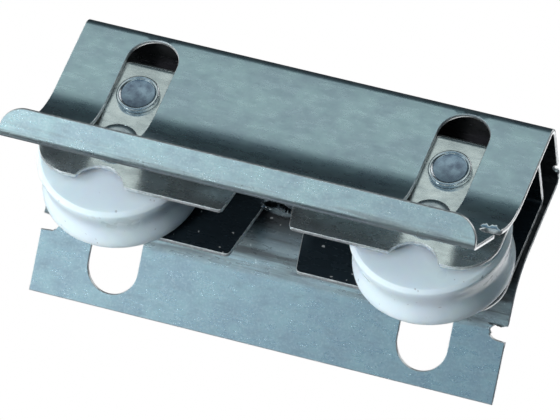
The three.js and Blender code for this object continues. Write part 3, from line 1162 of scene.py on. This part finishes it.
@dataclass
class AdjustingScrew:
    """The screw with its cross recess and thread, and the square nut under the carriage's web."""

    shank: float = 1.9
    head_height: float = 2.2
    dome: float = 0.75
    skirt: float = 0.35
    neck: float = 0.3
    pitch: float = 0.7
    thread_depth: float = 0.22
    slot: float = 1.2
    slot_depth: float = 1.1
    arm: float = 2.5
    wall_run: float = 0.16
    nut_bore: float = 2.2
    nut_power: int = 14
    columns: int = 96

    def screw(self) -> None:
        """Makes the screw about the Z axis.

        The head's end is a dome whose height falls with the square of the radius. The recess raises it to its
        depth inside two crossed bars, whose walls rise over a short distance. The thread's radius falls by
        its depth times a triangle wave of height over pitch less the share of a turn.
        """
        box = NodeBox.of("adjusting_screw")
        low, high, head = box.low[2], box.high[2], box.size[0] / 2
        edge = head - self.skirt
        angle = np.arange(self.columns) * 2 * math.pi / self.columns
        flat_radius = np.linspace(0, edge, 44)[:, None] + 0 * angle
        dome = self.dome * (flat_radius / edge) ** 2
        x, y = flat_radius * np.sin(angle), flat_radius * np.cos(angle)
        across, along = np.abs(x + y) / math.sqrt(2), np.abs(x - y) / math.sqrt(2)
        narrow, wide = np.minimum(across, along), np.maximum(across, along)
        gap = np.maximum(narrow - self.slot / 2, wide - self.arm)
        recess = self.slot_depth * np.clip(0.5 - gap / self.wall_run, 0, 1)
        head_top = low + self.head_height
        turned = soften(np.array([
            [edge, low + self.dome], [head, low + self.dome + self.skirt], [head, head_top],
            [self.shank, head_top],
            [self.shank, head_top + self.neck]]), np.array([0, 0.2, 0.15, 0.1, 0]), 3)
        thread_z = np.linspace(head_top + self.neck, high - 0.5, 180)[:, None] + 0 * angle
        wave = np.abs(((thread_z / self.pitch - angle / (2 * math.pi)) % 1) * 2 - 1)
        thread = self.shank - self.thread_depth * wave
        tip = np.array([[self.shank - 0.3, high - 0.45], [self.shank - 0.6, high], [0, high]])
        spread = np.ones(self.columns)
        radius = np.vstack([flat_radius, turned[1:, :1] * spread, thread, tip[:, :1] * spread])
        rows = [low + np.maximum(dome, recess), turned[1:, 1:] * spread, thread_z, tip[:, 1:] * spread]
        piece = sweep_round("screw_turned", radius, np.vstack(rows), box.centre, 2, ring=False)
        self.dress(piece)
        # The recess's walls and floor get the near-black steel as painted shade.
        centres = face_centres(piece)
        deep = (centres[:, 2] > low + self.slot_depth / 2) & (centres[:, 2] < low + self.slot_depth + 0.02)
        bars = np.hypot(centres[:, 0] - box.centre[0], centres[:, 1] - box.centre[1]) < self.arm + 0.1
        repaint(piece, SCREW_RECESS_PAINTED_SHADE, deep & bars)
        hand_over(piece, "screw", "adjusting_screw")

    def nut(self) -> None:
        """Makes the square nut with softened corners.

        Its outline is the curve where x and y, each to a high power, sum to half its size to that power,
        which is a square with small round corners.
        """
        box = NodeBox.of("clinch_nut")
        half, low, high = box.size[0] / 2, box.low[2], box.high[2]
        angle = np.arange(self.columns) * 2 * math.pi / self.columns
        power = self.nut_power
        square = half / (np.abs(np.sin(angle)) ** power + np.abs(np.cos(angle)) ** power) ** (1 / power)
        bore = np.full(self.columns, self.nut_bore)
        radius = np.vstack([bore + 0.3, square - 0.35, square, square, square - 0.35, bore + 0.3, bore, bore])
        levels = [low, low, low + 0.3, high - 0.3, high, high, high - 0.3, low + 0.3]
        height = np.repeat(np.array(levels)[:, None], self.columns, axis=1)
        piece = sweep_round("nut_square", radius, height, box.centre, 2, ring=True)
        self.dress(piece)
        hand_over(piece, "carriage", "clinch_nut")

    @staticmethod
    def dress(piece: Piece) -> None:
        """Gives the screw or the nut its plated steel."""
        piece.data.materials.append(PLATED_STEEL.shared())

    def build(self) -> None:
        """Makes the screw and its nut."""
        self.screw()
        self.nut()


# ---- Studio


@dataclass
class Softbox:
    """A square soft lamp that faces the object from a direction."""

    name: str
    towards: Triple
    distance: float
    size: float
    power: float
    colour: Colour = (1.0, 1.0, 1.0)
    shines: bool = True

    def build(self) -> None:
        """Hangs the lamp, unseen by the camera itself; one that doesn't shine isn't reflected either."""
        lamp = bpy.data.lights.new(self.name, "AREA")
        lamp.shape, lamp.size = "SQUARE", self.size
        lamp.energy, lamp.color = self.power, self.colour
        box = bpy.data.objects.new(self.name, lamp)
        direction = Vector(self.towards).normalized()
        box.location = direction * self.distance
        box.rotation_euler = direction.to_track_quat("Z", "Y").to_euler()
        box.visible_camera, box.visible_glossy = False, self.shines
        bpy.context.scene.collection.objects.link(box)


@dataclass
class Studio:
    """Camera, pale floor, soft surroundings and lamps."""

    target: Triple = (-0.0020, 0.0081, -0.0122)
    azimuth: float = 19.08
    elevation: float = -32.24
    roll: float = 24.13
    distance: float = 0.82
    lens: float = 434.8
    floor_depth: float = -1.5
    floor_size: float = 8.0
    floor_glow: float = 0.65
    ramp_axis: Triple = (-0.20, -0.93, -0.30)

    def camera(self) -> None:
        """Aims a long lens from the azimuth and elevation, then turns it about its own line of sight."""
        azimuth, elevation = math.radians(self.azimuth), math.radians(self.elevation)
        back = Vector((math.sin(azimuth) * math.cos(elevation),
                       -math.cos(azimuth) * math.cos(elevation), math.sin(elevation)))
        right = Vector((0, 0, 1)).cross(back).normalized()
        level = Matrix((right, back.cross(right), back)).transposed().to_4x4()
        lens = bpy.data.cameras.new("camera")
        lens.lens, lens.sensor_width, lens.clip_start, lens.clip_end = self.lens, 36, 0.01, 100
        camera = bpy.data.objects.new("camera", lens)
        camera.matrix_world = (Matrix.Translation(Vector(self.target) + back * self.distance)
                               @ level @ Matrix.Rotation(math.radians(self.roll), 4, "Z"))
        bpy.context.scene.collection.objects.link(camera)
        bpy.context.scene.camera = camera

    def floor(self) -> None:
        """Lays a wide pale floor well below the object, lit by itself and out of the object's own light."""
        half = self.floor_size / 2 / MM
        corners = np.array([[-half, -half, 0], [half, -half, 0], [half, half, 0], [-half, half, 0]])
        floor = mesh_object("floor", corners + [0, 0, self.floor_depth / MM], [np.array([[0, 1, 2, 3]])])
        bench = NodeBench(bpy.data.materials.new("pale_floor"))
        shader = bench.shader(
            Roughness=0.9, Emission_Color=(1.0, 1.0, 1.0), Emission_Strength=self.floor_glow)
        tone = bench.ranged(bench.noise(1.5, 2), (0.3, 0.7))
        bench.join(bench.blended(tone, (0.84, 0.85, 0.85), (0.88, 0.88, 0.88)), shader.inputs["Base Color"])
        floor.data.materials.append(bench.owner)
        floor.visible_glossy = floor.visible_diffuse = False

    def surroundings(self) -> None:
        """Lights the room by how far a direction leans to the ramp's axis; the camera sees it white."""
        bench = NodeBench(bpy.data.worlds.new("room"))
        lean = bench.add("ShaderNodeVectorMath", operation="DOT_PRODUCT")
        lean.inputs[1].default_value = Vector(self.ramp_axis).normalized()
        bench.join(bench.add("ShaderNodeTexCoord").outputs["Generated"], lean.inputs[0])
        ramp = bench.add("ShaderNodeValToRGB")
        for spot, colour in self.ramp():
            ramp.color_ramp.elements.new(spot).color = (*colour, 1)
        for end in (0, -1):
            ramp.color_ramp.elements.remove(ramp.color_ramp.elements[end])
        bench.join(bench.ranged(lean.outputs["Value"], (-1, 1)), ramp.inputs["Fac"])
        room, white = bench.add("ShaderNodeBackground"), bench.add("ShaderNodeBackground")
        bench.join(ramp.outputs["Color"], room.inputs["Color"])
        white.inputs["Color"].default_value = (1, 1, 1, 1)
        mixed = bench.add("ShaderNodeMixShader")
        bench.join(bench.add("ShaderNodeLightPath").outputs["Is Camera Ray"], mixed.inputs["Fac"])
        bench.join(room.outputs["Background"], mixed.inputs[1])
        bench.join(white.outputs["Background"], mixed.inputs[2])
        bench.join(mixed.outputs["Shader"], bench.output.inputs["Surface"])
        bpy.context.scene.world = bench.owner

    @staticmethod
    def ramp() -> list[tuple[float, Colour]]:
        """Colours of the room from straight against the ramp's axis, 0, to straight along it, 1."""
        return [
            (0.01, (0.05, 0.05, 0.06)), (0.28, (0.02, 0.022, 0.026)), (0.52, (0.015, 0.024, 0.028)),
            (0.69, (0.035, 0.055, 0.065)), (0.768, (0.13, 0.18, 0.20)), (0.805, (0.58, 0.66, 0.65)),
            (0.84, (0.84, 0.94, 0.92)), (0.895, (0.17, 0.27, 0.35)), (0.99, (0.12, 0.20, 0.27))]

    def build(self) -> None:
        """Sets up the whole studio."""
        bpy.context.scene.view_settings.view_transform = "Standard"
        self.camera()
        self.floor()
        self.surroundings()
        for lamp in self.lamps():
            lamp.build()

    @staticmethod
    def lamps() -> list[Softbox]:
        """The lamps that light the roller; those that don't shine are left out of reflections."""
        cool = (0.86, 0.96, 1.0)
        return [
            Softbox("low_front", (-0.50, -0.54, -0.68), 0.20, 0.10, 0.016, cool),
            Softbox("low_left", (-0.57, -0.16, -0.80), 0.40, 0.05, 0.10, cool),
            Softbox("under", (-0.27, 0.70, -0.66), 0.70, 0.22, 0.06, (0.86, 0.84, 1.0)),
            Softbox("left_fill", (-0.76, -0.60, -0.26), 0.60, 0.22, 1.3, shines=False),
            Softbox("low_fill", (-0.48, -0.40, -0.78), 0.60, 0.22, 2.7, shines=False),
            Softbox("overhead", (0.46, 0.06, 0.88), 0.90, 0.7, 2.4),
            Softbox("back", (0.25, 0.94, 0.22), 0.90, 0.8, 3.2),
            Softbox("back_left", (-0.90, 0.34, 0.28), 0.90, 0.6, 1.5),
        ]


def main() -> None:
    """Builds the studio and every piece, in order."""
    logging.basicConfig(level=logging.INFO, format="%(name)s: %(message)s")
    Studio().build()
    Housing().build()
    Carriage().build()
    for place in ("left", "right"):
        Wheel(place).build()
    TurnedParts().build()
    AdjustingScrew().build()


if __name__ == "__main__":
    main()
